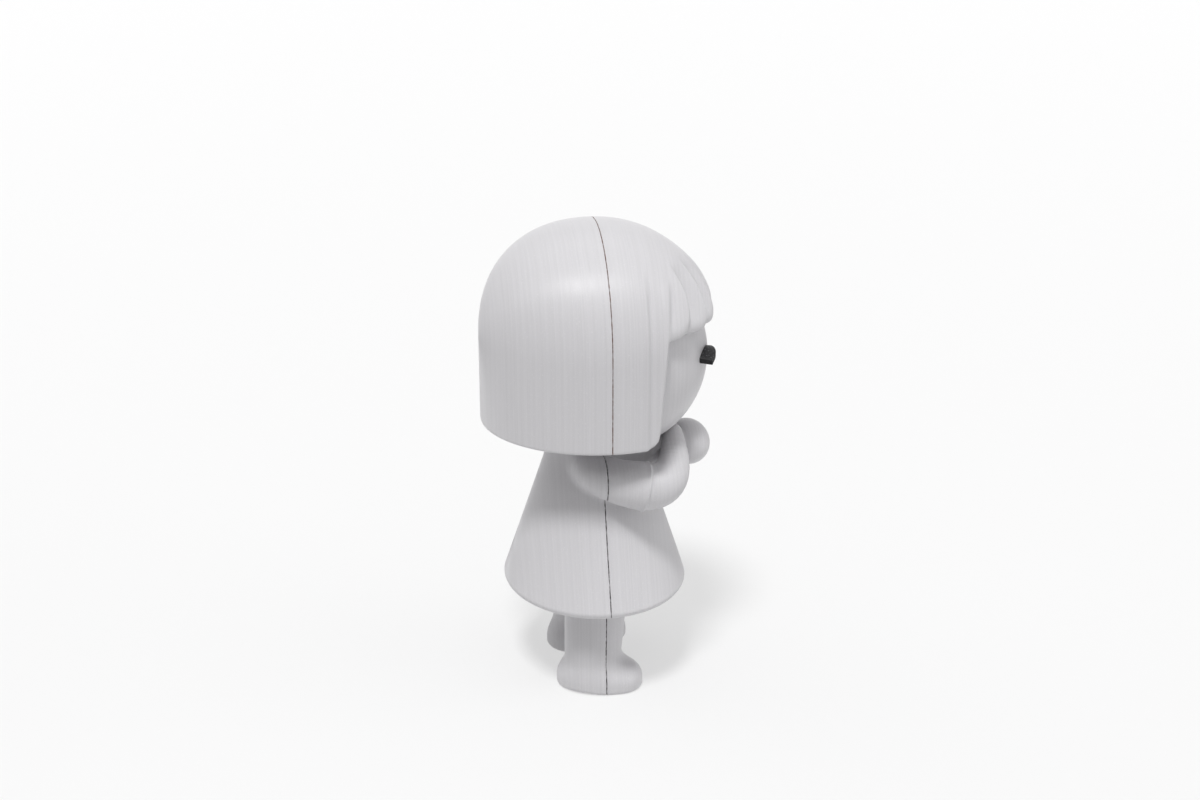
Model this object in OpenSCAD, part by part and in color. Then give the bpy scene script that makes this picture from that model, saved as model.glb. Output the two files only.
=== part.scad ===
// Printed desk figurine of a girl with a bob, hands clasped under the chin.
// Millimetres, +Z up. The figure faces -Y and its right side is -X.
// The origin is on the floor, below the middle of the figure.
// One upright plane, y = 0, parts head and body into front and rear shells.

/* [Hair] */
// Height of the crown above the floor
figure_h = 70; // [68.5:0.1:73]
// Width of the bob across the ears
hair_w = 34.1; // [33:0.1:36]
// Reach of the bob behind the parting plane
hair_back = 17; // [16.5:0.1:18]
// Reach of the bob ahead of the parting plane
hair_ahead = 17.6; // [17:0.1:18]
// Height of the flat rim of the bob
rim_z = 40.3; // [39:0.1:42]
// Height where the sides start to round in to the crown
widest_z = 53; // [50:0.5:56]
// Roundness of the crown across the ears, where 2 is an ellipse
crown_side = 2.05; // [1.9:0.05:2.6]
// Roundness of the crown behind the parting plane
crown_back = 2.3; // [1.9:0.05:2.6]
// Roundness of the crown ahead of the parting plane
crown_ahead = 2.05; // [1.9:0.05:2.6]
// Thickness of the hair at its rim
hair_t = 2.5; // [2:0.1:3]
// Front edge of the side locks, ahead of the parting plane
lock_ahead = 7.9; // [7:0.1:9]
// Lean of the locks' front edge, in degrees
lock_lean = 5; // [0:0.5:6]
// Radius of the locks' lower front corner
lock_round = 3.2; // [1:0.1:4]

/* [Fringe] */
// Height of the fringe's middle tip
fringe_z = 55.5; // [54.5:0.1:56.5]
// Rise of the tips from the middle out to the locks
fringe_rise = 0.2; // [0:0.1:2]
// Height where the fringe grows out of the hair
fringe_top = 67; // [65:0.1:68]
// How far the strands stand out from the hair
fringe_out = 0.3; // [0.1:0.1:0.8]
// Depth of the creases between the strands
fringe_crease = 0.8; // [0.2:0.1:1.2]
// How far the strands curl in at their tips
fringe_curl = 1.3; // [0.8:0.1:1.6]

/* [Face] */
// Radius of the head under the hair
face_r = 14.5; // [14.2:0.1:14.8]
// Middle of the head ahead of the parting plane
face_ahead = 1.9; // [1:0.1:2.5]
// Height of the middle of the head
face_z = 50.3; // [49:0.1:51]
// Place of each eye round the head from straight ahead, in degrees
eye_spread = 24.5; // [20:0.5:27]
// Turn of each eye from straight ahead, in degrees
eye_turn = 15; // [8:1:22]
// Top of the eye's arch above the middle of the head
eye_rise = 1.9; // [1:0.1:2.5]
// Outer radius of the eye's arch
eye_r = 2.8; // [2.3:0.1:3.2]
// Span of the eye's arch, in degrees
eye_arc = 125; // [80:5:140]
// Width of the eye's line
eye_line = 0.9; // [0.6:0.1:1.2]
// How far the eye stands proud of the face
eye_proud = 1.3; // [0.8:0.1:2]
// How deep the eye is set into the face
eye_set = 2; // [1:0.1:3]

/* [Dress] */
// Height where the dress stops narrowing
neck_z = 37.5; // [37:0.1:38]
// Height of the hem
hem_z = 14.7; // [14:0.1:17]
// Width of the hem
hem_w = 32.4; // [30:0.1:34]
// Depth of the hem from front to rear
hem_d = 27.4; // [26:0.1:29]
// Width of the dress at the neck
neck_w = 14.6; // [14:0.1:16]
// Depth of the dress at the neck
neck_d = 12.8; // [12:0.1:14]
// Radius of the hem's edge
hem_round = 0.9; // [0.5:0.1:2]
// Flare of the dress across the figure, where 1 is straight
flare = 1.15; // [1:0.05:1.4]

/* [Arms] */
// Radius of the sleeve at its cuff
sleeve_r = 3.6; // [3.2:0.1:4]
// Radius of the arm where it leaves the cuff
forearm_r = 3.3; // [2.8:0.1:3.4]
// Radius of the fingertips against the chin
finger_r = 1.5; // [1:0.1:1.8]
// Radius of the clasped hands from front to rear
hands_r = 3.4; // [3:0.1:3.8]
// Width of the clasped hands
hands_w = 9.2; // [8:0.1:10]

/* [Legs] */
// Distance of each leg from the middle of the figure
leg_x = 7; // [6:0.1:8]
// Radius of the leg under the hem
leg_r = 4.7; // [4:0.1:5]
// Radius of the ankle
ankle_r = 4.1; // [3.5:0.1:4.5]
// Length of a shoe
shoe_l = 13; // [12:0.1:15]
// Width of a shoe
shoe_w = 8.6; // [8:0.1:11]
// Height of a shoe
shoe_h = 4.6; // [3.5:0.1:6]
// Turn of the toes outwards, in degrees
toe_out = 20; // [0:1:25]

/* [Pins] */
// Diameter of the pins that line up the shells
pin_d = 3; // [2:0.1:3.2]
// Length of the pins in head and waist
pin_l = 8; // [5:0.5:9]
// Length of the pins in the legs
leg_pin_l = 4; // [3:0.5:5]
// Diameter of the peg in the neck
peg_d = 5; // [4:0.1:6]
// Length of the peg in the neck
peg_l = 12; // [8:0.5:14]
// Gap all round a pin, a peg or an eye in its hole
fit_gap = 0.1; // [0.05:0.05:0.2]

/* [Hidden] */
$fn = 64;

print_grey = "#c9c8cb";
eye_black = "#2c2c2e";

// The figure's own right is on -X
RIGHT = -1;
LEFT = 1;
SIDES = [RIGHT, LEFT];

// Larger than the whole figure, for cutting away half of it
BEYOND = 100;

// Sides of the hair's rings, and rings from its widest level to the crown
hair_sides = 64;
crown_steps = 11;

// Edges of the fringe's strands, in degrees from straight ahead
strand_edges = [-62, -40, -25.5, -13, 13, 25.5, 40, 62];
strand_steps = 6;
fringe_steps = 10;
strand_notch = 0.2;
// Above 1, a strand's ridge lies nearer to its front edge than to the locks
strand_skew = 2;
// Distance from the upright axis to which the fringe reaches inside the head, at tip and root
fringe_core = [11.5, 5];
// Shares of a strand's length by which it has risen, and at which creases and tip curl set in
rise_by = 0.5;
crease_from = 0.2;
crease_by = 0.75;
curl_from = 0.7;
// Angle over which the outer strands sink into the locks, and how deep
edge_fade = 10;
edge_sink = 0.3;
root_sink = 0.05;

// Places of the pins along x and z, on the parting plane
head_pin_at = [8, 58];
waist_pin_at = [6.5, 24];
leg_pin_at = [leg_x, 9];

// Routes of sleeve and forearm on the figure's left, from shoulder to hand
sleeve_route = [[5, 2.8, 35.2], [11, 2, 34.6], [11, -5.8, 33.1]];
cuff_way = unit(sleeve_route[2] - sleeve_route[1]);
cuff_cover = 0.4;
elbow_reach = 5.3;
forearm_route = [sleeve_route[2] - cuff_cover * cuff_way, sleeve_route[2] + elbow_reach * cuff_way,
    [3.2, -11, 38.2]];
sleeve_root = 0.15;
sleeve_swell = 0.4;
forearm_taper = 1.6;
hands_at = [0, -13.9, 35.6];
hands_h = 6.6;
chest_at = [0, -3.8, 36];
chest_size = [6.5, 8.2, 4.5];
tube_sides = 20;
tube_steps = 9;
round_sides = 32;
face_sides = 56;

dress_back = 0.2;
dress_sides = 64;
dress_steps = 5;
hem_steps = 4;
// Middle of the leg behind the parting plane, at the hem and at the ankle
leg_back = [0.9, 1.6];
leg_foot = 1;
shoe_x = leg_x + 0.2;
shoe_back = 0.4;
shoe_sole_inset = 0.88;
shoe_wall = 1.2;
shoe_steps = 7;
shoe_sides = 32;
shoe_square = 2.3;
shoe_dome = 0.8;

face_middle = [0, -face_ahead, face_z];
// Lowest point of the seat between head and body on the upright axis
seat_z = face_z - sqrt(pow(face_r, 2) - pow(face_ahead, 2));
// Height above the seat's edge to which the dress is drawn before the seat is cut
collar_z = face_z - 0.75 * face_r;

function lerp(a, b, t) = a + (b - a) * t;
function smooth(t) = let (c = min(1, max(0, t))) c * c * (3 - 2 * c);
function unit(v) = v / norm(v);
function curve(p, t) = lerp(lerp(p[0], p[1], t), lerp(p[1], p[2], t), t);
function curve_way(p, t) = unit(lerp(p[1] - p[0], p[2] - p[1], t));
function mirrored(p, side) = [p[0] * side, p[1], p[2]];

// Signed power, for rings that are squarer or rounder than an ellipse
function bow(v, power) = sign(v) * pow(abs(v), 2 / power);

// Solid skinned over rings that run anticlockwise about the way that they advance
module loft(rings) {
    sides = len(rings[0]);
    last = (len(rings) - 1) * sides;
    walls = [for (j = [0:len(rings) - 2], i = [0:sides - 1])
        let (a = j * sides + i, b = j * sides + (i + 1) % sides)
        each [[a, a + sides, b + sides], [a, b + sides, b]]];
    start = [for (i = [0:sides - 1]) i];
    end = [for (i = [sides - 1:-1:0]) last + i];
    polyhedron([for (r = rings) each r], concat(walls, [start, end]));
}

// Round tube along a curve, with one radius for each ring
module tube(route, radii) {
    steps = len(radii) - 1;
    loft([for (j = [0:steps])
        let (t = j / steps, way = curve_way(route, t), u = unit(cross(way, [0, 0, 1])), v = cross(way, u))
        [for (i = [0:tube_sides - 1])
            let (a = 360 * i / tube_sides)
            curve(route, t) + radii[j] * (cos(a) * u + sin(a) * v)]]);
}

// One closed skin over forms that overlap
module skin() {
    resize([0, 0, 0]) children();
}

// Everything behind, or ahead of, the parting plane
module behind() {
    translate([-BEYOND, 0, -BEYOND]) cube([2 * BEYOND, BEYOND, 3 * BEYOND]);
}

module ahead() {
    mirror([0, 1, 0]) behind();
}

// Share of the full hair section that is left at a height
function crown(z, power) = z <= widest_z ? 1 :
    pow(max(0, 1 - pow((z - widest_z) / (figure_h - widest_z), power)), 1 / power);
function half_width(z) = hair_w / 2 * crown(z, crown_side);
function reach_back(z) = hair_back * crown(z, crown_back);
function reach_ahead(z) = hair_ahead * crown(z, crown_ahead);

function hair_ring(z, inset) = [for (i = [0:hair_sides - 1])
    let (a = 360 * i / hair_sides, reach = sin(a) > 0 ? reach_back(z) : reach_ahead(z))
    [(half_width(z) - inset) * cos(a), (reach - inset) * sin(a), z]];

// Domed bob, cut back to the face between the side locks and hollow under the rim
module hair() {
    last_turn = 87;
    dome = [for (j = [0:crown_steps])
        hair_ring(lerp(widest_z, figure_h, sin(last_turn * j / crown_steps)), 0)];
    difference() {
        loft(concat([hair_ring(rim_z, 0)], dome));
        face_cut();
        rim_hollow();
    }
}

// Space ahead of the side locks, with the locks' lower corners rounded
module face_cut() {
    translate([0, -lock_ahead, face_z]) rotate([lock_lean, 0, 0])
        translate([-BEYOND, -BEYOND, -BEYOND]) cube([2 * BEYOND, BEYOND, BEYOND + fringe_top - face_z]);
    lock_foot = lock_ahead - (face_z - rim_z) * tan(lock_lean);
    translate([0, -lock_foot, rim_z]) rotate([90, 0, 90]) translate([0, 0, -BEYOND])
        linear_extrude(2 * BEYOND) difference() {
            translate([-lock_round, -lock_round]) square(2 * lock_round);
            translate([lock_round, lock_round]) circle(lock_round);
        }
}

// Hollow between the hair's rim and the head
module rim_hollow() {
    below = 1;
    rise = 4;
    loft([hair_ring(rim_z - below, hair_t), hair_ring(rim_z + rise, hair_t)]);
}

// Last edge of the fringe, and the strand at a degrees from straight ahead
last_edge = strand_edges[len(strand_edges) - 1];
function strand_of(a) = [for (s = [0:len(strand_edges) - 2])
    if (a >= strand_edges[s] && a <= strand_edges[s + 1]) s][0];

// Height across a strand: slowly up from the locks' side to a ridge, then down to the next strand
function lobe(a) =
    let (s = strand_of(a), low = strand_edges[s], high = strand_edges[s + 1], u = (a - low) / (high - low))
    low * high < 0 ? sin(180 * u) : sin(180 * pow(low < 0 ? u : 1 - u, strand_skew));

// Distance of the hair's surface from the upright axis, a degrees from straight ahead
function hair_r(a, z) = 1 / sqrt(pow(sin(a) / half_width(z), 2) + pow(cos(a) / reach_ahead(z), 2));

// Height of the strands over the hair, from root at 0 to tip at 1
function strand_rise(a, t) = lerp(-root_sink, fringe_out, smooth(t / rise_by))
    - fringe_crease * (1 - lobe(a)) * smooth((t - crease_from) / (crease_by - crease_from));
function tip_curl(t) = let (c = max(0, t - curl_from) / (1 - curl_from)) 1 - sqrt(1 - c * c);

function fringe_tip(a) = fringe_z + fringe_rise * pow(a / last_edge, 2)
    + strand_notch * (1 - lobe(a));
function fringe_fade(a) = smooth((last_edge - abs(a)) / edge_fade);
function fringe_point(a, t) =
    let (z = lerp(fringe_top, fringe_tip(a), t),
        out = lerp(-edge_sink, strand_rise(a, t), fringe_fade(a)),
        r = hair_r(a, z) + out - fringe_curl * tip_curl(t))
    [r * sin(a), -r * cos(a), z];
function fringe_inner(a, z, r) = [r * sin(a), -r * cos(a), z];

// Fringe of strands that swell towards their tips and meet in creases
module fringe() {
    inner = [for (s = [0:len(strand_edges) - 2], i = [0:strand_steps - 1])
        lerp(strand_edges[s], strand_edges[s + 1], i / strand_steps)];
    loft([for (a = concat(inner, [last_edge])) concat(
        [fringe_inner(a, fringe_tip(a), fringe_core[0])],
        [fringe_inner(a, fringe_top + edge_sink, fringe_core[1])],
        [for (j = [0:fringe_steps]) fringe_point(a, j / fringe_steps)])]);
}

module face() {
    translate(face_middle) sphere(face_r, $fn = face_sides);
}

// Whole head: hair, fringe and the round face
module head_form() {
    hair();
    fringe();
    face();
}

// Arch of one eye, its back end set into the face
module eye_bar(gap) {
    arc = eye_arc + 2 * gap / eye_r * 180 / PI;
    up = 270;
    translate([0, -eye_proud, eye_rise - eye_r]) rotate([-90, 0, 0]) rotate([0, 0, up - arc / 2])
        rotate_extrude(angle = arc)
            translate([eye_r - eye_line - gap, 0]) square([eye_line + 2 * gap, eye_proud + eye_set]);
}

module eye_at(side) {
    translate(face_middle + face_r * [side * sin(eye_spread), -cos(eye_spread), 0])
        rotate([0, 0, side * eye_turn]) children();
}

// Pin across the parting plane, on one side of the figure
module pin(at, length, side, gap) {
    translate([side * at[0], length / 2, at[1]]) rotate([90, 0, 0])
        cylinder(h = length, d = pin_d + 2 * gap);
}

module peg(gap) {
    translate([0, 0, seat_z - peg_l / 2]) cylinder(h = peg_l, d = peg_d + 2 * gap);
}

module head_holes() {
    for (side = SIDES) pin(head_pin_at, pin_l, side, fit_gap);
    peg(fit_gap);
}

module body_holes() {
    for (side = SIDES) {
        pin(waist_pin_at, pin_l, side, fit_gap);
        pin(leg_pin_at, leg_pin_l, side, fit_gap);
    }
    peg(fit_gap);
}

function dress_ring(z, share, inset) = [for (i = [0:dress_sides - 1])
    let (a = 360 * i / dress_sides,
        half_w = lerp(neck_w, hem_w, pow(share, flare)) / 2 - inset,
        half_d = lerp(neck_d, hem_d, share) / 2 - inset)
    [half_w * cos(a), dress_back + half_d * sin(a), z]];

// Flared dress with a rounded hem
module dress() {
    hem = [for (j = [0:hem_steps - 1])
        let (b = 90 * j / hem_steps)
        dress_ring(hem_z + hem_round * (1 - cos(b)), 1, hem_round * (1 - sin(b)))];
    rise = [for (j = [0:dress_steps])
        let (t = j / dress_steps)
        dress_ring(lerp(hem_z + hem_round, neck_z, t), 1 - t, 0)];
    loft(concat(hem, rise, [dress_ring(collar_z, 0, 0)]));
}

// Sleeve that swells out of the shoulder to a crisp cuff
module sleeve(side) {
    radii = [for (j = [0:tube_steps]) sleeve_r * pow(lerp(sleeve_root, 1, j / tube_steps), sleeve_swell)];
    tube([for (p = sleeve_route) mirrored(p, side)], radii);
}

// Bent forearm that tapers to fingertips under the chin
module forearm(side) {
    radii = [for (j = [0:tube_steps]) lerp(forearm_r, finger_r, pow(j / tube_steps, forearm_taper))];
    tube([for (p = forearm_route) mirrored(p, side)], radii);
    translate(mirrored(forearm_route[2], side)) sphere(finger_r, $fn = tube_sides);
}

// Front of the chest behind the clasped hands
module chest() {
    translate(chest_at) scale(chest_size) sphere(1, $fn = round_sides);
}

// Both hands, clasped into one round form
module hands() {
    translate(hands_at) scale([hands_w / 2, hands_r, hands_h / 2]) sphere(1, $fn = round_sides);
}

// Ring of a leg, with a flat and not a corner straight ahead
function leg_ring(x, y, z, r) = [for (i = [0:round_sides - 1])
    let (a = 360 * (i + 0.5) / round_sides)
    [x + r * cos(a), y + r * sin(a), z]];

// Leg that slants back and narrows to the ankle
module leg(side) {
    x = side * leg_x;
    loft([leg_ring(x, leg_back[1], leg_foot, ankle_r), leg_ring(x, leg_back[0], hem_z + leg_foot, leg_r)]);
}

function shoe_ring(z, share) = [for (i = [0:shoe_sides - 1])
    let (a = 360 * i / shoe_sides)
    share * [shoe_w / 2 * bow(cos(a), shoe_square), shoe_l / 2 * bow(sin(a), shoe_square), 0] + [0, 0, z]];

// Chunky shoe with a flat sole and a domed top
module shoe(side) {
    last_turn = 80;
    dome = [for (j = [0:shoe_steps])
        let (b = last_turn * j / shoe_steps)
        shoe_ring(lerp(shoe_wall, shoe_h, sin(b)), pow(cos(b), shoe_dome))];
    translate([side * shoe_x, shoe_back, 0]) rotate([0, 0, side * toe_out])
        loft(concat([shoe_ring(0, shoe_sole_inset), shoe_ring(shoe_wall / 2, 1)], dome));
}

// Whole body, with a round seat for the head in the neck of the dress
module body_form() {
    difference() {
        union() {
            dress();
            chest();
            hands();
            for (side = SIDES) {
                sleeve(side);
                forearm(side);
                leg(side);
                shoe(side);
            }
        }
        face();
    }
}

module head_rear() {
    color(print_grey) difference() {
        skin() intersection() {
            head_form();
            behind();
        }
        head_holes();
    }
}

module head_front() {
    color(print_grey) difference() {
        skin() intersection() {
            head_form();
            ahead();
        }
        head_holes();
        for (side = SIDES) eye_at(side) eye_bar(fit_gap);
    }
}

module body_rear() {
    color(print_grey) difference() {
        skin() intersection() {
            body_form();
            behind();
        }
        body_holes();
    }
}

module body_front() {
    color(print_grey) difference() {
        skin() intersection() {
            body_form();
            ahead();
        }
        body_holes();
    }
}

module eye(side) {
    color(eye_black) eye_at(side) eye_bar(0);
}

module neck_peg() {
    color(print_grey) peg(0);
}

module shell_pin(at, length, side) {
    color(print_grey) pin(at, length, side, 0);
}

head_rear();
head_front();
body_rear();
body_front();
eye(RIGHT);  // right_eye
eye(LEFT);  // left_eye
neck_peg();
shell_pin(head_pin_at, pin_l, RIGHT);  // head_pin_right
shell_pin(head_pin_at, pin_l, LEFT);  // head_pin_left
shell_pin(waist_pin_at, pin_l, RIGHT);  // waist_pin_right
shell_pin(waist_pin_at, pin_l, LEFT);  // waist_pin_left
shell_pin(leg_pin_at, leg_pin_l, RIGHT);  // leg_pin_right
shell_pin(leg_pin_at, leg_pin_l, LEFT);  // leg_pin_left
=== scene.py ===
"""Printed desk figurine of a girl with a bob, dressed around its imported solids.

Each pair of shells is one smooth form, given as a distance in millimetres, which is
skinned and then parted on the plane y = 0. The figure faces -Y and its right is -X.
"""
import math

import bmesh
import bpy
import numpy as np
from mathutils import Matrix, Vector


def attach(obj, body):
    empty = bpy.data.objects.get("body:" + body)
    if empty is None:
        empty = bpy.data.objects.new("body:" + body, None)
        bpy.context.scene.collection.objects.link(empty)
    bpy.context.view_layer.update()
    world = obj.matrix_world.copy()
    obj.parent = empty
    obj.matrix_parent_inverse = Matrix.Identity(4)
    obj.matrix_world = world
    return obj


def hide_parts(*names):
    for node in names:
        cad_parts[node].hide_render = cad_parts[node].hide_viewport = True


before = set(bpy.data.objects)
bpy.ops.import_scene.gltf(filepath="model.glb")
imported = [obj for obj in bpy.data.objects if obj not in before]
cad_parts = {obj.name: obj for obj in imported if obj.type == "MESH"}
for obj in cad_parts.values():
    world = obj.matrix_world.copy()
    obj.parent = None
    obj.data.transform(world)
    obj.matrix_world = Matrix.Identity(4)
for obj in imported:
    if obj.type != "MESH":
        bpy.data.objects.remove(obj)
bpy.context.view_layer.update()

MM = 0.001

# Hair
FIGURE_H = 69.97
HAIR_HALF_W = 17.05
HAIR_BACK = 17.0
HAIR_AHEAD = 17.6
RIM_Z = 40.3
RIM_SOFT = 0.5
WIDEST_Z = 53.0
CROWN_SIDE = 2.05
CROWN_BACK = 2.3
CROWN_AHEAD = 2.05
HAIR_T = 2.5
HOLLOW_TOP = 44.3
HOLLOW_SOFT = 0.4
LOCK_AHEAD = 7.9
LOCK_LEAN = math.radians(5)
LOCK_ROUND = 2.3
# Soft step where the side lock parts from the hair behind it
LOCK_STEP_AT = 5.35
LOCK_STEP = 0.55
LOCK_STEP_SOFT = 0.7
LOCK_STEP_POWER = 1.3
LOCK_STEP_TOP = 66.0
LOCK_STEP_FADE = 6

# Fringe, with the strands' edges across the figure two thirds of the way down
FRINGE_Z = 55.5
FRINGE_TOP = 67.0
FRINGE_OUT = 0.3
FRINGE_CREASE = 1.6
FRINGE_CURL = 1.3
FRINGE_SOFT = 0.6
FRINGE_SIDE_SOFT = 0.8
STRAND_EDGES = (3.55, 7.1, 10.6, 14.8)
STRAND_FAN = (0.675, 0.5)
STRAND_SKEW = 2.5
STRAND_NOTCH = 0.2
MIDDLE_RISE = 0.9
MIDDLE_SOFT = 0.8
# Stretches of the way down the fringe, each as its start and its length
SWELL_SPAN = (0, 0.5)
CREASE_SPAN = (0.12, 0.45)
CLOSING_SPAN = (0.66, 0.3)
CURL_SPAN = (0.7, 0.3)
# Share of a crease that is closed at the tips, and the shifts that round its bottom
CREASE_CLOSED = 0.65
CREASE_SHIFTS = (-0.3, -0.1, 0.1, 0.3)

# Face and eyes
FACE_R = 14.5
FACE_MIDDLE = (0, -1.9, 50.3)
FACE_FILLET = 0.25
EYE_SPREAD = math.radians(23.5)
EYE_TOP = 1.9
EYE_R = 4.4
EYE_HALF_W = 2.8
EYE_LINE = 0.8
EYE_PROUD = (0.35, 2.0)
EYE_RISE = (0.55, 0.6)
EYE_SET = 2.0
EYE_EDGE = 0.1
EYE_BEVEL = 0.3
EYE_POINTS = 25

# Dress and arms
NECK_Z = 37.5
COLLAR_Z = 39.4
HEM_Z = 14.7
HEM_ROUND = 0.9
HEM_HALF = (16.2, 13.7)
NECK_HALF = (7.3, 6.4)
DRESS_BACK = 0.2
DRESS_SLANT = 0.93
FLARE = 1.15
CHEST_AT = (0, -3.8, 36)
CHEST_SIZE = (6.5, 8.2, 4.5)
CHEST_FILLET = 2.0
# Rough patch on the chest: where it starts ahead and above, each with its fade, then its waves
ROUGH_AHEAD = (6.5, 1.5)
ROUGH_ABOVE = (33, 2)
ROUGH_H = 0.14
ROUGH_FINE = 2.2
SLEEVE_ROUTE = ((5, 2.8, 35.2), (11, 2, 34.6), (11, -5.8, 33.1))
SLEEVE_R = 3.6
SLEEVE_ROOT = 0.15
SLEEVE_SWELL = 0.4
SLEEVE_FILLET = 1.0
CUFF_BEAD = 0.13
CUFF_BEAD_BACK = 0.2
CUFF_BEAD_W = 0.17
CUFF_SOFT = 0.1
FOREARM_R = 3.38
FOREARM_TAPER = 1.6
FOREARM_INSET = 0.4
FOREARM_STEPS = 16
FINGER_R = 1.5
ELBOW_REACH = 5.3
FINGER_AT = (3.2, -11, 38.2)
HANDS_AT = (0, -13.9, 35.6)
HANDS_SIZE = (4.6, 3.36, 3.3)
HANDS_FILLET = 0.5
ARM_FILLET = 0.15
ARMS_ABOVE = 25
SEAT_GAP = 0.03
SEAT_SOFT = 0.15

# Legs and shoes
LEG_X = 7.0
LEG_BACK = (0.9, 1.6)
LEG_INSET = 1
LEG_FILLET = 0.3
ANKLE_R = 4.1
ANKLE_FILLET = 1.8
LEG_R = 4.7
SHOE_AT = (7.2, 0.4)
SHOE_HALF = (4.3, 6.5)
SHOE_H = 4.6
SHOE_WALL = 1.2
SHOE_POWER = 2.3
SHOE_DOME = 2.2
SOLE_ROUND = 0.6
TOE_OUT = math.radians(20)

# Skins: cell size, boxes that hold the two forms, and how points are moved onto the surface
VOXEL = 0.23
HEAD_BOX = ((-17.4, -18.2, 35.4), (17.4, 17.4, 70.3))
BODY_BOX = ((-16.6, -17.7, -0.2), (16.6, 14.3, 39.6))
SETTLE_ROUNDS = 3
SETTLE_LEAST_SLOPE = 0.05
SETTLE_LONGEST_MOVE = 0.4

# Seams: gap to the parting plane, width and depth of the edge let in, and how ragged it is
HEAD_SEAM = (0.025, 0.07, 0.05, 0.5)
BODY_SEAM = (0.035, 0.09, 0.08, 0.9)

# Joint line, painted shade of the gap with a brown glue tint on the head: distances from the plane where
# it ends and is full, and heights between body and head
LINE_FADE = (0.11, 0.05)
LINE_CHANGE = (39.5, 40.3)
LINE_SCALE = 1500.0
# Range of noise over which the line breaks up, and the share of it left at each end
HEAD_BREAKS = (0.35, 0.6, 0.2, 1.0)
BODY_BREAKS = (0.4, 0.62, 0.1, 1.0)
# Head line: brown glue tint, darkened as painted shade of the narrow gap
HEAD_GLUE_AND_SHADE = (0.5, 0.4, 0.36)
# Body line: painted shade of the gap between the halves
BODY_GAP_SHADE = (0.25, 0.24, 0.24)

# Printed plastic: height of a layer, then the scale of each noise for lengths in metres
LAYER_H = 0.2
BAND_SCALE = 2400.0
STREAK_STRETCH = (200, 5600, 200)
GRAIN_SCALE = 5200.0
# Weight of each pattern in the tint, in the roughness and in the relief
LAYER_TINT = 0.35
BAND_TINT = 0.5
STREAK_TINT = 0.55
LAYER_DULL = 0.12
STREAK_DULL = 0.14
LAYER_RELIEF = 0.8
STREAK_RELIEF = 0.9
GRAIN_RELIEF = 0.3
TINT_RANGE = (0.35, 1.05)
TINT_SWING = 0.045
SPECK_RANGE = (0.6, 0.7)
SPECK_SHARE = 0.5
SHEEN_STRETCH = 0.75
SHEEN_TURN = 0.25
RELIEF_STRENGTH = 0.25
RELIEF_H = 0.02

# Floor, light and camera
FLOOR_HALF = 3
FLOOR_TONE = 0.35
FLOOR_GLOW = 0.5
FLOOR_ROUGH = 0.9
WHITE = (1, 1, 1, 1)
AMBIENT_COLOUR = (0.98, 0.98, 1, 1)
AMBIENT = 0.05
BACKDROP = 1.0
# Key lamp high on the camera's side, a broad one overhead, a level one from the front and a weak one
# from behind on the far side, each with its power, its spread in degrees and the way it shines
LAMPS = (("key", 2.1, 12, (0.42, -0.18, -0.9)), ("top", 1.5, 95, (0.12, 0, -1)),
         ("front", 0.9, 60, (0.25, 0.9, -0.12)), ("rear", 0.3, 60, (-0.5, -0.75, -0.4)))
CAMERA_AZIMUTH = math.radians(-98.303)
CAMERA_ELEVATION = math.radians(19.286)
CAMERA_FAR = 0.246143
CAMERA_AIM = Vector((0, -0.0007, 0.042749))
CAMERA_LENS = 50
CAMERA_SENSOR = 36
CAMERA_NEAR = 0.01


def lerp(a, b, t):
    return a + (b - a) * t


def smooth(t):
    t = np.clip(t, 0, 1)
    return t * t * (3 - 2 * t)


def ramp(t, start, length):
    """Goes smoothly from 0 to 1 over a length."""
    return smooth((t - start) / length)


def passing(v, width):
    """Goes smoothly from 0 to 1 over a width, half of it on each side of v = 0."""
    return smooth(v / width + 0.5)


def soft_min(a, b, k):
    """Union of two forms with a fillet over the width k."""
    h = np.clip(0.5 + 0.5 * (b - a) / k, 0, 1)
    return lerp(b, a, h) - k * h * (1 - h)


def soft_max(a, b, k):
    """Common part of two forms with an edge rounded over the width k."""
    return -soft_min(-a, -b, k)


def round_max(a, b, r):
    """Common part of two forms with a corner of radius r."""
    return np.minimum(-r, np.maximum(a, b)) + np.hypot(np.maximum(a + r, 0), np.maximum(b + r, 0))


def ripple(x, y, z, phase):
    """Smooth irregular value between -1 and 1 with waves about 2 mm long."""
    a = np.sin(2.9 * x + 1.7 * z + phase) + np.sin(3.3 * y - 1.9 * x + 2 * phase)
    b = np.sin(3.7 * z + 2.3 * y - phase + a) + np.sin(2.1 * (x + y + z) + 3 * phase)
    return (a + b) / 4


def ball(x, y, z, middle, r):
    return np.sqrt((x - middle[0]) ** 2 + (y - middle[1]) ** 2 + (z - middle[2]) ** 2) - r


def ellipsoid(x, y, z, middle, size):
    u = [(v - m) / s for v, m, s in zip((x, y, z), middle, size)]
    k0 = np.sqrt(sum(c * c for c in u))
    k1 = np.sqrt(sum((c / s) ** 2 for c, s in zip(u, size)))
    return k0 * (k0 - 1) / np.maximum(k1, 1e-6)


def curve(route, t):
    a, b, c = (np.array(p, float) for p in route)
    return lerp(lerp(a, b, t), lerp(b, c, t), t)


def tube(x, y, z, route, radius_at, steps=10):
    """Round tube along a curve, whose radius is given from its start at 0 to its end at 1."""
    d = np.full(x.shape, np.inf)
    for j in range(steps):
        t0, t1 = j / steps, (j + 1) / steps
        a, b = curve(route, t0), curve(route, t1)
        w = b - a
        h = np.clip(((x - a[0]) * w[0] + (y - a[1]) * w[1] + (z - a[2]) * w[2]) / (w @ w), 0, 1)
        far = np.sqrt(sum((v - (p + q * h)) ** 2 for v, p, q in zip((x, y, z), a, w)))
        d = np.minimum(d, far - lerp(radius_at(t0), radius_at(t1), h))
    return d


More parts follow.
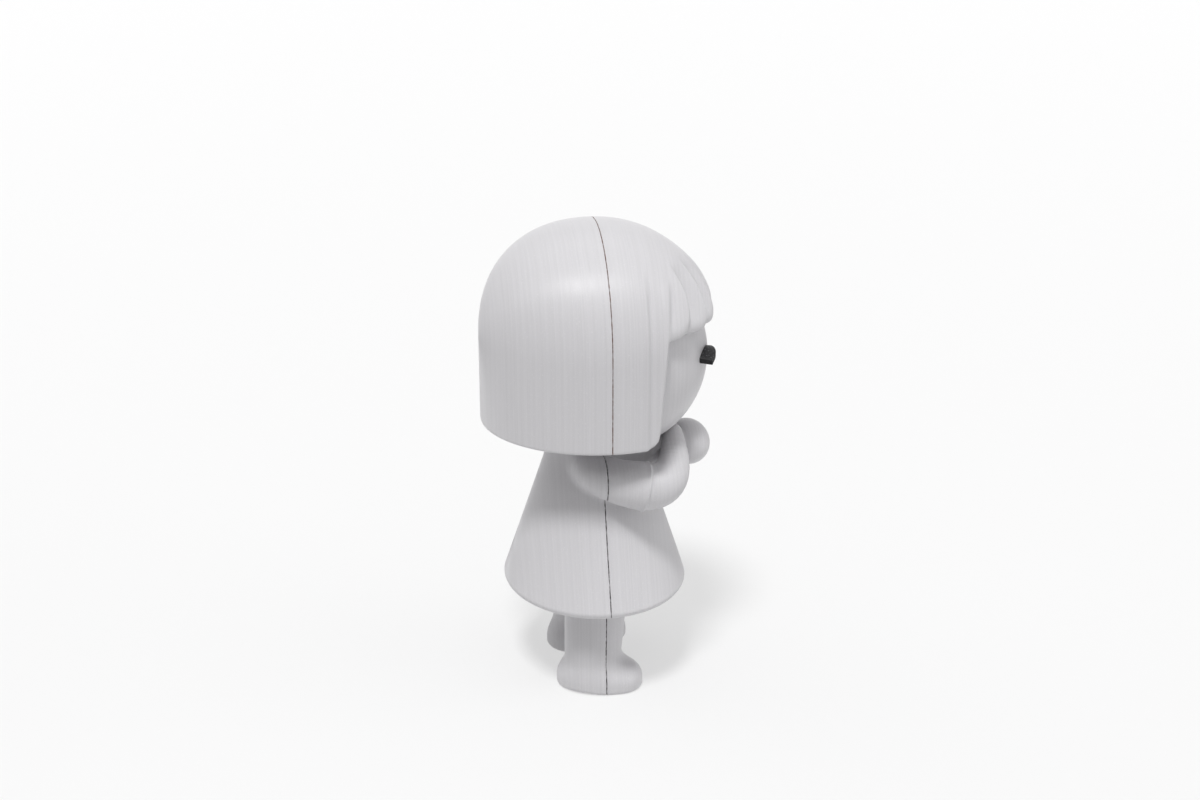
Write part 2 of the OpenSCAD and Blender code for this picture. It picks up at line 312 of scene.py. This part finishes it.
def hair_outer(x, y, z):
    """Domed bob without rim, fringe or face."""
    across = x / HAIR_HALF_W
    along = y / np.where(y > 0, HAIR_BACK, HAIR_AHEAD)
    flat = np.maximum(np.hypot(across, along), 1e-6)
    rise = np.maximum(0, z - WIDEST_Z)
    up = rise / (FIGURE_H - WIDEST_Z)
    turn = np.where(y > 0, CROWN_BACK, CROWN_AHEAD) - CROWN_SIDE
    power = CROWN_SIDE + turn * (along / flat) ** 2
    gauge = np.maximum((flat ** power + up ** power) ** (1 / power), 1e-3)
    return np.sqrt(x * x + y * y + rise * rise) * (1 - 1 / gauge)


def strand_lobe(across):
    """1 on the ridge of a strand and 0 on the crease between two; ridges lie towards the middle."""
    out = np.cos(np.pi / 2 * np.clip(across / STRAND_EDGES[0], 0, 1))
    for low, high in zip(STRAND_EDGES, STRAND_EDGES[1:]):
        share = np.clip((high - across) / (high - low), 0, 1)
        out = np.where(across > low, np.sin(np.pi * share ** STRAND_SKEW), out)
    return np.where(across < STRAND_EDGES[-1], out, 0)


def hair(x, y, z):
    """Bob with its fringe, cut back to the face between the locks and hollow under the rim."""
    outer = hair_outer(x, y, z)
    down = np.clip((FRINGE_TOP - z) / (FRINGE_TOP - FRINGE_Z), 0, 1)
    across = np.abs(x) / (STRAND_FAN[0] + STRAND_FAN[1] * down)
    lobe = sum(strand_lobe(np.abs(across + shift)) for shift in CREASE_SHIFTS) / len(CREASE_SHIFTS)
    middle = passing(STRAND_EDGES[0] - across, MIDDLE_SOFT)
    tip = FRINGE_Z + STRAND_NOTCH * (1 - lobe) + MIDDLE_RISE * middle
    t = (FRINGE_TOP - z) / (FRINGE_TOP - tip)
    closed = CREASE_CLOSED * ramp(t, *CLOSING_SPAN)
    crease = FRINGE_CREASE * (1 - lobe) * ramp(t, *CREASE_SPAN) * (1 - closed)
    rise = FRINGE_OUT * ramp(t, *SWELL_SPAN) - crease
    bend = np.clip((t - CURL_SPAN[0]) / CURL_SPAN[1], 0, 1)
    curl = FRINGE_CURL * (1 - np.sqrt(1 - bend ** 2))
    ahead = -((y + LOCK_AHEAD) * math.cos(LOCK_LEAN) + (z - FACE_MIDDLE[2]) * math.sin(LOCK_LEAN))
    strands = (rise - curl) * passing(ahead, FRINGE_SIDE_SOFT)
    past = -LOCK_STEP_AT - y
    width = LOCK_AHEAD - LOCK_STEP_AT
    fall = np.clip(past / width, 0, 1) ** LOCK_STEP_POWER
    step = LOCK_STEP * passing(past, LOCK_STEP_SOFT) * (1 - fall)
    step = step * smooth((LOCK_STEP_TOP - z) / LOCK_STEP_FADE)
    locks = round_max(ahead, RIM_Z - z, LOCK_ROUND)
    kept = np.minimum(locks, tip - z)
    d = soft_max(outer - strands + step, kept, FRINGE_SOFT)
    d = soft_max(d, RIM_Z - z, RIM_SOFT)
    hollow = np.maximum(outer + HAIR_T, z - HOLLOW_TOP)
    return soft_max(d, -hollow, HOLLOW_SOFT)


def head(x, y, z):
    return soft_min(hair(x, y, z), ball(x, y, z, FACE_MIDDLE, FACE_R), FACE_FILLET)


def dress(x, y, z):
    """A-line dress, its level distance shortened to allow for the slanting wall."""
    share = np.clip((NECK_Z - z) / (NECK_Z - HEM_Z - HEM_ROUND), 0, 1)
    half_w = lerp(NECK_HALF[0], HEM_HALF[0], share ** FLARE)
    half_d = lerp(NECK_HALF[1], HEM_HALF[1], share)
    flat = np.maximum(np.hypot(x / half_w, (y - DRESS_BACK) / half_d), 1e-3)
    d = np.hypot(x, y - DRESS_BACK) * (1 - 1 / flat) * DRESS_SLANT
    return np.maximum(round_max(d, HEM_Z - z, HEM_ROUND), z - COLLAR_Z)


def chest(x, y, z):
    """Front of the chest, rough under the chin where the print was held up."""
    rough = ramp(-y, *ROUGH_AHEAD) * ramp(z, *ROUGH_ABOVE)
    waves = ripple(ROUGH_FINE * x, ROUGH_FINE * y, ROUGH_FINE * z, 1)
    return ellipsoid(x, y, z, CHEST_AT, CHEST_SIZE) - ROUGH_H * rough * waves


def arm(x, y, z):
    """Sleeve and forearm of one side, as sleeve, forearm."""
    sleeve = tube(x, y, z, SLEEVE_ROUTE,
                  lambda t: SLEEVE_R * lerp(SLEEVE_ROOT, 1, t) ** SLEEVE_SWELL)
    end = np.array(SLEEVE_ROUTE[2], float)
    way = end - np.array(SLEEVE_ROUTE[1], float)
    way /= np.linalg.norm(way)
    past = (x - end[0]) * way[0] + (y - end[1]) * way[1] + (z - end[2]) * way[2]
    bead = CUFF_BEAD * np.exp(-((past + CUFF_BEAD_BACK) / CUFF_BEAD_W) ** 2)
    sleeve = soft_max(sleeve - bead, past, CUFF_SOFT)
    route = (end - FOREARM_INSET * way, end + ELBOW_REACH * way, FINGER_AT)
    forearm = tube(x, y, z, route,
                   lambda t: lerp(FOREARM_R, FINGER_R, t ** FOREARM_TAPER), FOREARM_STEPS)
    return sleeve, forearm


def leg(x, y, z):
    """Leg and shoe of one side; the leg starts inside the shoe and ends inside the dress."""
    up = np.clip((z - LEG_INSET) / HEM_Z, 0, 1)
    shaft = np.hypot(x - LEG_X, y - lerp(LEG_BACK[1], LEG_BACK[0], up)) - lerp(ANKLE_R, LEG_R, up)
    shaft = np.maximum(shaft, np.maximum(LEG_INSET - z, z - HEM_Z - LEG_INSET))
    c, s = math.cos(TOE_OUT), math.sin(TOE_OUT)
    u = (x - SHOE_AT[0]) * c + (y - SHOE_AT[1]) * s
    v = (y - SHOE_AT[1]) * c - (x - SHOE_AT[0]) * s
    flat = np.abs(u / SHOE_HALF[0]) ** SHOE_POWER + np.abs(v / SHOE_HALF[1]) ** SHOE_POWER
    flat = flat ** (1 / SHOE_POWER)
    rise = np.maximum(0, z - SHOE_WALL)
    dome = rise / (SHOE_H - SHOE_WALL)
    gauge = np.maximum((flat ** SHOE_DOME + dome ** SHOE_DOME) ** (1 / SHOE_DOME), 1e-3)
    shoe = np.sqrt(u * u + v * v + rise * rise) * (1 - 1 / gauge)
    shoe = round_max(shoe, -z, SOLE_ROUND)
    return np.maximum(soft_min(shaft, shoe, ANKLE_FILLET), -z)


def body(x, y, z):
    """Dress, arms and legs, the same on both sides, with a round seat for the head."""
    x = np.abs(x)
    d = soft_min(dress(x, y, z), chest(x, y, z), CHEST_FILLET)
    d = soft_min(d, leg(x, y, z), LEG_FILLET)
    upper = z > ARMS_ABOVE
    xu, yu, zu = x[upper], y[upper], z[upper]
    sleeve, forearm = arm(xu, yu, zu)
    hands = soft_min(forearm, ellipsoid(xu, yu, zu, HANDS_AT, HANDS_SIZE), HANDS_FILLET)
    d[upper] = soft_min(soft_min(d[upper], sleeve, SLEEVE_FILLET), hands, ARM_FILLET)
    return soft_max(d, -ball(x, y, z, FACE_MIDDLE, FACE_R) + SEAT_GAP, SEAT_SOFT)


def skin(field, low, high, step=VOXEL):
    """Points and quads of the surface where a field is zero, one point for each cell it crosses."""
    axes = [np.arange(a - 0.5 * step, b + step, step) for a, b in zip(low, high)]
    value = field(*np.meshgrid(*axes, indexing="ij"))
    inside = value < 0
    corners = [(i, j, k) for i in (0, 1) for j in (0, 1) for k in (0, 1)]
    size = [n - 1 for n in value.shape]
    count = sum(inside[i:i + size[0], j:j + size[1], k:k + size[2]].astype(np.int8)
                for i, j, k in corners)
    cells = np.argwhere((count > 0) & (count < len(corners)))
    number = np.full(size, -1)
    number[tuple(cells.T)] = np.arange(len(cells))
    total = np.zeros((len(cells), 3))
    crossings = np.zeros(len(cells))
    for a in corners:
        for axis in range(3):
            if a[axis]:
                continue
            b = tuple(c + (n == axis) for n, c in enumerate(a))
            va = value[tuple((cells + a).T)]
            vb = value[tuple((cells + b).T)]
            hit = (va < 0) != (vb < 0)
            share = np.where(hit, va / np.where(hit, va - vb, 1), 0)
            at = np.array(a, float) + np.outer(share, np.eye(3)[axis])
            total += at * hit[:, None]
            crossings += hit
    points = np.array([a[0] for a in axes]) + step * (cells + total / crossings[:, None])
    quads = []
    for axis in range(3):
        p, q = (axis + 1) % 3, (axis + 2) % 3
        first = [slice(1, n) for n in size]
        first[axis] = slice(0, size[axis])
        second = list(first)
        second[axis] = slice(1, size[axis] + 1)
        starts, ends = inside[tuple(first)], inside[tuple(second)]
        for flip in (False, True):
            edge = np.argwhere(ends & ~starts if flip else starts & ~ends)
            edge[:, p] += 1
            edge[:, q] += 1
            ring = []
            for dp, dq in ((-1, -1), (0, -1), (0, 0), (-1, 0)):
                cell = edge.copy()
                cell[:, p] += dp
                cell[:, q] += dq
                ring.append(number[tuple(cell.T)])
            quad = np.stack(ring, 1)
            quads.append(quad[:, ::-1] if flip else quad)
    return settle(field, points, step), np.concatenate(quads)


def slope(field, points, h=0.02):
    g = np.empty_like(points)
    for axis in range(3):
        move = h * np.eye(3)[axis]
        g[:, axis] = (field(*(points + move).T) - field(*(points - move).T)) / (2 * h)
    return g


def settle(field, points, step):
    """Moves the points onto the surface along its slope, a share of a cell at most in each round."""
    for _ in range(SETTLE_ROUNDS):
        g = slope(field, points)
        d = field(*points.T)
        move = -(d / np.maximum((g * g).sum(1), SETTLE_LEAST_SLOPE))[:, None] * g
        far = np.linalg.norm(move, axis=1, keepdims=True)
        points = points + move * np.minimum(1, SETTLE_LONGEST_MOVE * step / np.maximum(far, 1e-9))
    return points


def mesh_object(name, mesh):
    obj = bpy.data.objects.new(name, mesh)
    bpy.context.scene.collection.objects.link(obj)
    return obj


def shell(name, points, quads, field, side, gap, lip, sink, ragged):
    """Closed half of a form, behind the parting plane (side 1) or ahead of it (side -1).

    Its edge at the seam is let in along the form's slope, a little unevenly.
    """
    mesh = bpy.data.meshes.new(name)
    mesh.from_pydata((points * MM).tolist(), [], quads.tolist())
    bm = bmesh.new()
    bm.from_mesh(mesh)
    for at, clear in ((gap + lip, False), (gap, True)):
        geom = bm.verts[:] + bm.edges[:] + bm.faces[:]
        cut = bmesh.ops.bisect_plane(bm, geom=geom, dist=1e-7, plane_co=(0, side * at * MM, 0),
                                     plane_no=(0, side, 0), clear_inner=clear)
    for f in bm.faces:
        f.smooth = True
    rim = [e for e in cut["geom_cut"] if isinstance(e, bmesh.types.BMEdge)]
    ring = list({v for e in rim for v in e.verts})
    at = np.array([v.co for v in ring]) / MM
    g = slope(field, at)
    g[:, 1] = 0
    g /= np.maximum(np.linalg.norm(g, axis=1, keepdims=True), 1e-6)
    wear = ripple(at[:, 0], 2 * side, at[:, 2], side)
    waves = ripple(2 * at[:, 0], 5 * side, 2 * at[:, 2], 4 * side)
    inner = at - (sink * (1 + ragged * wear))[:, None] * g
    inner[:, 1] = side * gap * (1 + ragged * waves)
    for v, p in zip(ring, inner):
        v.co = p * MM
    faces = bmesh.ops.holes_fill(bm, edges=rim, sides=0)["faces"]
    for f in faces:
        f.smooth = False
    for e in rim:
        e.smooth = False
    bmesh.ops.recalc_face_normals(bm, faces=bm.faces[:])
    bm.to_mesh(mesh)
    bm.free()
    return mesh_object(name, mesh)


def eye(name, side):
    """Arch with upright ends and softened edges, let into the face and proudest at its outer end."""
    span = np.linspace(EYE_EDGE - EYE_HALF_W, EYE_HALF_W - EYE_EDGE, EYE_POINTS)
    top = np.stack((span, np.sqrt(EYE_R ** 2 - span ** 2) - EYE_R), 1)
    end = top[-1, 1] - EYE_EDGE
    low = end - EYE_LINE + 2 * EYE_EDGE
    flat = np.concatenate((top, [(EYE_HALF_W, end), (EYE_HALF_W, low)], top[::-1] - (0, EYE_LINE),
                           [(-EYE_HALF_W, low), (-EYE_HALF_W, end)]))
    way = np.roll(flat, -1, 0) - np.roll(flat, 1, 0)
    inward = np.stack((way[:, 1], -way[:, 0]), 1)
    inward /= np.linalg.norm(inward, axis=1, keepdims=True)
    out = np.array((side * math.sin(EYE_SPREAD), -math.cos(EYE_SPREAD), 0))
    across = np.array((math.cos(EYE_SPREAD), side * math.sin(EYE_SPREAD), 0))
    bevel = EYE_BEVEL * EYE_EDGE
    bm = bmesh.new()
    rings = []
    # Each ring as its depth behind the front and its inset; None is the end inside the face
    for back, inset in ((None, 0), (EYE_EDGE, 0), (bevel, bevel), (0, EYE_EDGE)):
        ring = []
        for u, w in flat + inset * inward:
            turn = u / FACE_R
            outer = smooth(EYE_RISE[0] + EYE_RISE[1] * side * u / EYE_HALF_W)
            height = -EYE_SET if back is None else lerp(*EYE_PROUD, outer) - back
            p = (FACE_R + height) * (math.cos(turn) * out + math.sin(turn) * across)
            p[2] = w + EYE_TOP
            ring.append(bm.verts.new((p + FACE_MIDDLE) * MM))
        rings.append(ring)
    n = len(flat)
    for one, two in zip(rings, rings[1:]):
        for i in range(n):
            bm.faces.new((one[i], one[(i + 1) % n], two[(i + 1) % n], two[i]))
    # Front and back are strips of quads between the upper and the lower line, with one at each end
    for ring in (rings[0], rings[-1]):
        for i in range(n // 2 - 3):
            bm.faces.new((ring[i], ring[i + 1], ring[n - 4 - i], ring[n - 3 - i]))
        bm.faces.new(ring[n // 2 - 3:n // 2 + 1])
        bm.faces.new((ring[n - 3], ring[n - 2], ring[n - 1], ring[0]))
    bmesh.ops.recalc_face_normals(bm, faces=bm.faces[:])
    mesh = bpy.data.meshes.new(name)
    bm.to_mesh(mesh)
    bm.free()
    return mesh_object(name, mesh)


def srgb(r, g, b):
    """Linear colour for the shaders from an sRGB one."""
    return tuple(c / 12.92 if c <= 0.04045 else ((c + 0.055) / 1.055) ** 2.4 for c in (r, g, b)) + (1,)


def scaled(colour, k):
    return tuple(c * k for c in colour[:3]) + (1,)


def add(tree, kind, inputs, **settings):
    """New node with its settings, and its inputs either linked or set."""
    n = tree.nodes.new(kind)
    for key, value in settings.items():
        setattr(n, key, value)
    for key, value in inputs.items():
        if isinstance(value, bpy.types.NodeSocket):
            tree.links.new(value, n.inputs[key])
        else:
            n.inputs[key].default_value = value
    return n


def maths(tree, operation, *values):
    return add(tree, "ShaderNodeMath", dict(enumerate(values)), operation=operation).outputs[0]


def noise(tree, inputs, **settings):
    return add(tree, "ShaderNodeTexNoise", inputs, **settings).outputs["Fac"]


def spread(tree, value, low, high, to_low=0.0, to_high=1.0):
    """Value carried from one range to another and held inside it."""
    return add(tree, "ShaderNodeMapRange", {"Value": value, "From Min": low, "From Max": high,
                                            "To Min": to_low, "To Max": to_high}).outputs["Result"]


def blend(tree, share, one, two):
    """Mix of two colours; the node has them at its inputs 6 and 7 and the mix at its output 2."""
    return add(tree, "ShaderNodeMix", {0: share, 6: one, 7: two}, data_type="RGBA").outputs[2]


def printed_plastic(name, colour, fleck, rough, gloss=0.45, tone=1.0, seam=False):
    """Plastic printed in layers parallel to the parting plane, with a joint line there if seam is set: a
    brown glue tint and painted shade of the gap.
    """
    mat = bpy.data.materials.new(name)
    mat.use_nodes = True
    tree = mat.node_tree
    shader = tree.nodes["Principled BSDF"]
    place = add(tree, "ShaderNodeTexCoord", {}).outputs["Object"]
    split = add(tree, "ShaderNodeSeparateXYZ", {0: place})
    y = split.outputs["Y"]
    count = maths(tree, "DIVIDE", y, LAYER_H * MM)
    number = maths(tree, "FLOOR", count)
    layer = add(tree, "ShaderNodeTexWhiteNoise", {"W": number}, noise_dimensions="1D").outputs["Value"]
    bead = maths(tree, "PINGPONG", count, 0.5)
    bands = noise(tree, {"W": y, "Scale": BAND_SCALE, "Detail": 2.0}, noise_dimensions="1D")
    along = add(tree, "ShaderNodeVectorMath", {0: place, 1: STREAK_STRETCH}, operation="MULTIPLY")
    streaks = noise(tree, {"Vector": along.outputs["Vector"], "Scale": 1.0, "Detail": 3.0})
    grain = noise(tree, {"Vector": place, "Scale": GRAIN_SCALE, "Detail": 2.0})
    shade = maths(tree, "MULTIPLY_ADD", layer, LAYER_TINT, maths(tree, "MULTIPLY", bands, BAND_TINT))
    shade = maths(tree, "MULTIPLY_ADD", streaks, STREAK_TINT, shade)
    dark = scaled(colour, 1 - TINT_SWING * tone)
    light = scaled(colour, 1 + TINT_SWING * tone)
    tint = blend(tree, spread(tree, shade, *TINT_RANGE), dark, light)
    speck = spread(tree, grain, *SPECK_RANGE)
    tint = blend(tree, maths(tree, "MULTIPLY", speck, SPECK_SHARE), tint, fleck)
    if seam:
        tint = seam_glue_and_gap_shade(tree, place, split, tint)
    tree.links.new(tint, shader.inputs["Base Color"])
    dull = maths(tree, "MULTIPLY_ADD", layer, LAYER_DULL, rough - LAYER_DULL)
    dull = maths(tree, "MULTIPLY_ADD", streaks, STREAK_DULL, dull)
    tree.links.new(dull, shader.inputs["Roughness"])
    shader.inputs["Specular IOR Level"].default_value = gloss
    shader.inputs["Anisotropic"].default_value = SHEEN_STRETCH
    shader.inputs["Anisotropic Rotation"].default_value = SHEEN_TURN
    grooves = add(tree, "ShaderNodeTangent", {}, direction_type="RADIAL", axis="Y")
    tree.links.new(grooves.outputs["Tangent"], shader.inputs["Tangent"])
    height = maths(tree, "MULTIPLY_ADD", layer, LAYER_RELIEF, bead)
    height = maths(tree, "MULTIPLY_ADD", streaks, STREAK_RELIEF, height)
    height = maths(tree, "MULTIPLY_ADD", grain, GRAIN_RELIEF, height)
    bump = add(tree, "ShaderNodeBump", {"Height": height, "Strength": RELIEF_STRENGTH,
                                        "Distance": RELIEF_H * MM})
    tree.links.new(bump.outputs["Normal"], shader.inputs["Normal"])
    return mat


def seam_glue_and_gap_shade(tree, place, split, tint):
    """Thin brown joint line round the head, a glue tint darkened by painted shade of the gap, and a
    darker broken one round the body that is painted shade of the gap.
    """
    off = maths(tree, "ABSOLUTE", split.outputs["Y"])
    near = spread(tree, off, LINE_FADE[0] * MM, LINE_FADE[1] * MM)
    broken = noise(tree, {"Vector": place, "Scale": LINE_SCALE, "Detail": 3.0})
    of_head = spread(tree, split.outputs["Z"], LINE_CHANGE[0] * MM, LINE_CHANGE[1] * MM)
    of_body = maths(tree, "SUBTRACT", 1.0, of_head)
    for part, breaks, colour in ((of_head, HEAD_BREAKS, HEAD_GLUE_AND_SHADE), (of_body, BODY_BREAKS, BODY_GAP_SHADE)):
        # Each line is painted shade of the gap, with a brown glue tint on the head
        line = maths(tree, "MULTIPLY", near, spread(tree, broken, *breaks))
        tint = blend(tree, maths(tree, "MULTIPLY", line, part), tint, srgb(*colour))
    return tint


GREY = srgb(0.765, 0.76, 0.77)
grey = printed_plastic("printed_grey", GREY, fleck=scaled(GREY, 1.15), rough=0.45, seam=True)
black = printed_plastic("eye_black", srgb(0.11, 0.11, 0.115), fleck=srgb(0.5, 0.5, 0.51), rough=0.55,
                        gloss=0.25, tone=8.0)
pin_grey = printed_plastic("pin_grey", srgb(0.7, 0.7, 0.71), fleck=srgb(0.74, 0.74, 0.75), rough=0.5)

# Shells and eyes, each in place of its solid
head_skin = skin(head, *HEAD_BOX)
body_skin = skin(body, *BODY_BOX)
SHELLS = (("head_rear", head_skin, head, 1, HEAD_SEAM), ("head_front", head_skin, head, -1, HEAD_SEAM),
          ("body_rear", body_skin, body, 1, BODY_SEAM), ("body_front", body_skin, body, -1, BODY_SEAM))
for node, (points, quads), field, side, seam in SHELLS:
    piece = shell(node + "_skin", points, quads, field, side, *seam)
    piece.data.materials.append(grey)
    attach(piece, "root")
    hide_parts(node)
for node, side in (("right_eye", -1), ("left_eye", 1)):
    piece = eye(node + "_arch", side)
    piece.data.materials.append(black)
    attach(piece, "root")
    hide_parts(node)

# The peg and the pins stay as they are and only get their material
for node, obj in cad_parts.items():
    if node == "neck_peg" or "_pin_" in node:
        obj.data.materials.clear()
        obj.data.materials.append(pin_grey)

# Floor
floor_corners = [(x * FLOOR_HALF, y * FLOOR_HALF, 0) for x, y in ((-1, -1), (1, -1), (1, 1), (-1, 1))]
floor_mesh = bpy.data.meshes.new("floor")
floor_mesh.from_pydata(floor_corners, [], [(0, 1, 2, 3)])
floor = mesh_object("floor", floor_mesh)
floor_mat = bpy.data.materials.new("floor")
floor_mat.use_nodes = True
floor_shader = floor_mat.node_tree.nodes["Principled BSDF"]
floor_shader.inputs["Base Color"].default_value = (FLOOR_TONE, FLOOR_TONE, FLOOR_TONE, 1)
floor_shader.inputs["Emission Color"].default_value = WHITE
floor_shader.inputs["Emission Strength"].default_value = FLOOR_GLOW
floor_shader.inputs["Roughness"].default_value = FLOOR_ROUGH
floor.data.materials.append(floor_mat)

# Dim ambient light, and a white backdrop that only the camera, reflections and clear parts see
world = bpy.data.worlds.new("studio")
bpy.context.scene.world = world
world.use_nodes = True
sky = world.node_tree
ambient = sky.nodes["Background"]
ambient.inputs["Color"].default_value = AMBIENT_COLOUR
ambient.inputs["Strength"].default_value = AMBIENT
backdrop = add(sky, "ShaderNodeBackground", {"Color": WHITE, "Strength": BACKDROP})
ray = add(sky, "ShaderNodeLightPath", {}).outputs
passed_on = maths(sky, "MAXIMUM", ray["Is Glossy Ray"], ray["Is Transmission Ray"])
seen = maths(sky, "MAXIMUM", ray["Is Camera Ray"], passed_on)
mix = add(sky, "ShaderNodeMixShader", {0: seen, 1: ambient.outputs[0], 2: backdrop.outputs[0]})
sky.links.new(mix.outputs[0], sky.nodes["World Output"].inputs["Surface"])

# Lamps
for name, power, soft, aim in LAMPS:
    lamp_data = bpy.data.lights.new(name, "SUN")
    lamp_data.energy = power
    lamp_data.angle = math.radians(soft)
    lamp = bpy.data.objects.new(name, lamp_data)
    lamp.rotation_euler = Vector(aim).to_track_quat("-Z", "Y").to_euler()
    bpy.context.scene.collection.objects.link(lamp)

# Camera
back = Vector((math.sin(CAMERA_AZIMUTH) * math.cos(CAMERA_ELEVATION),
               -math.cos(CAMERA_AZIMUTH) * math.cos(CAMERA_ELEVATION), math.sin(CAMERA_ELEVATION)))
cam_data = bpy.data.cameras.new("camera")
cam_data.lens = CAMERA_LENS
cam_data.sensor_width = CAMERA_SENSOR
cam_data.clip_start = CAMERA_NEAR
camera = bpy.data.objects.new("camera", cam_data)
camera.location = CAMERA_AIM + CAMERA_FAR * back
camera.rotation_euler = (-back).to_track_quat("-Z", "Y").to_euler()
bpy.context.scene.collection.objects.link(camera)
bpy.context.scene.camera = camera
bpy.context.scene.view_settings.view_transform = "Standard"
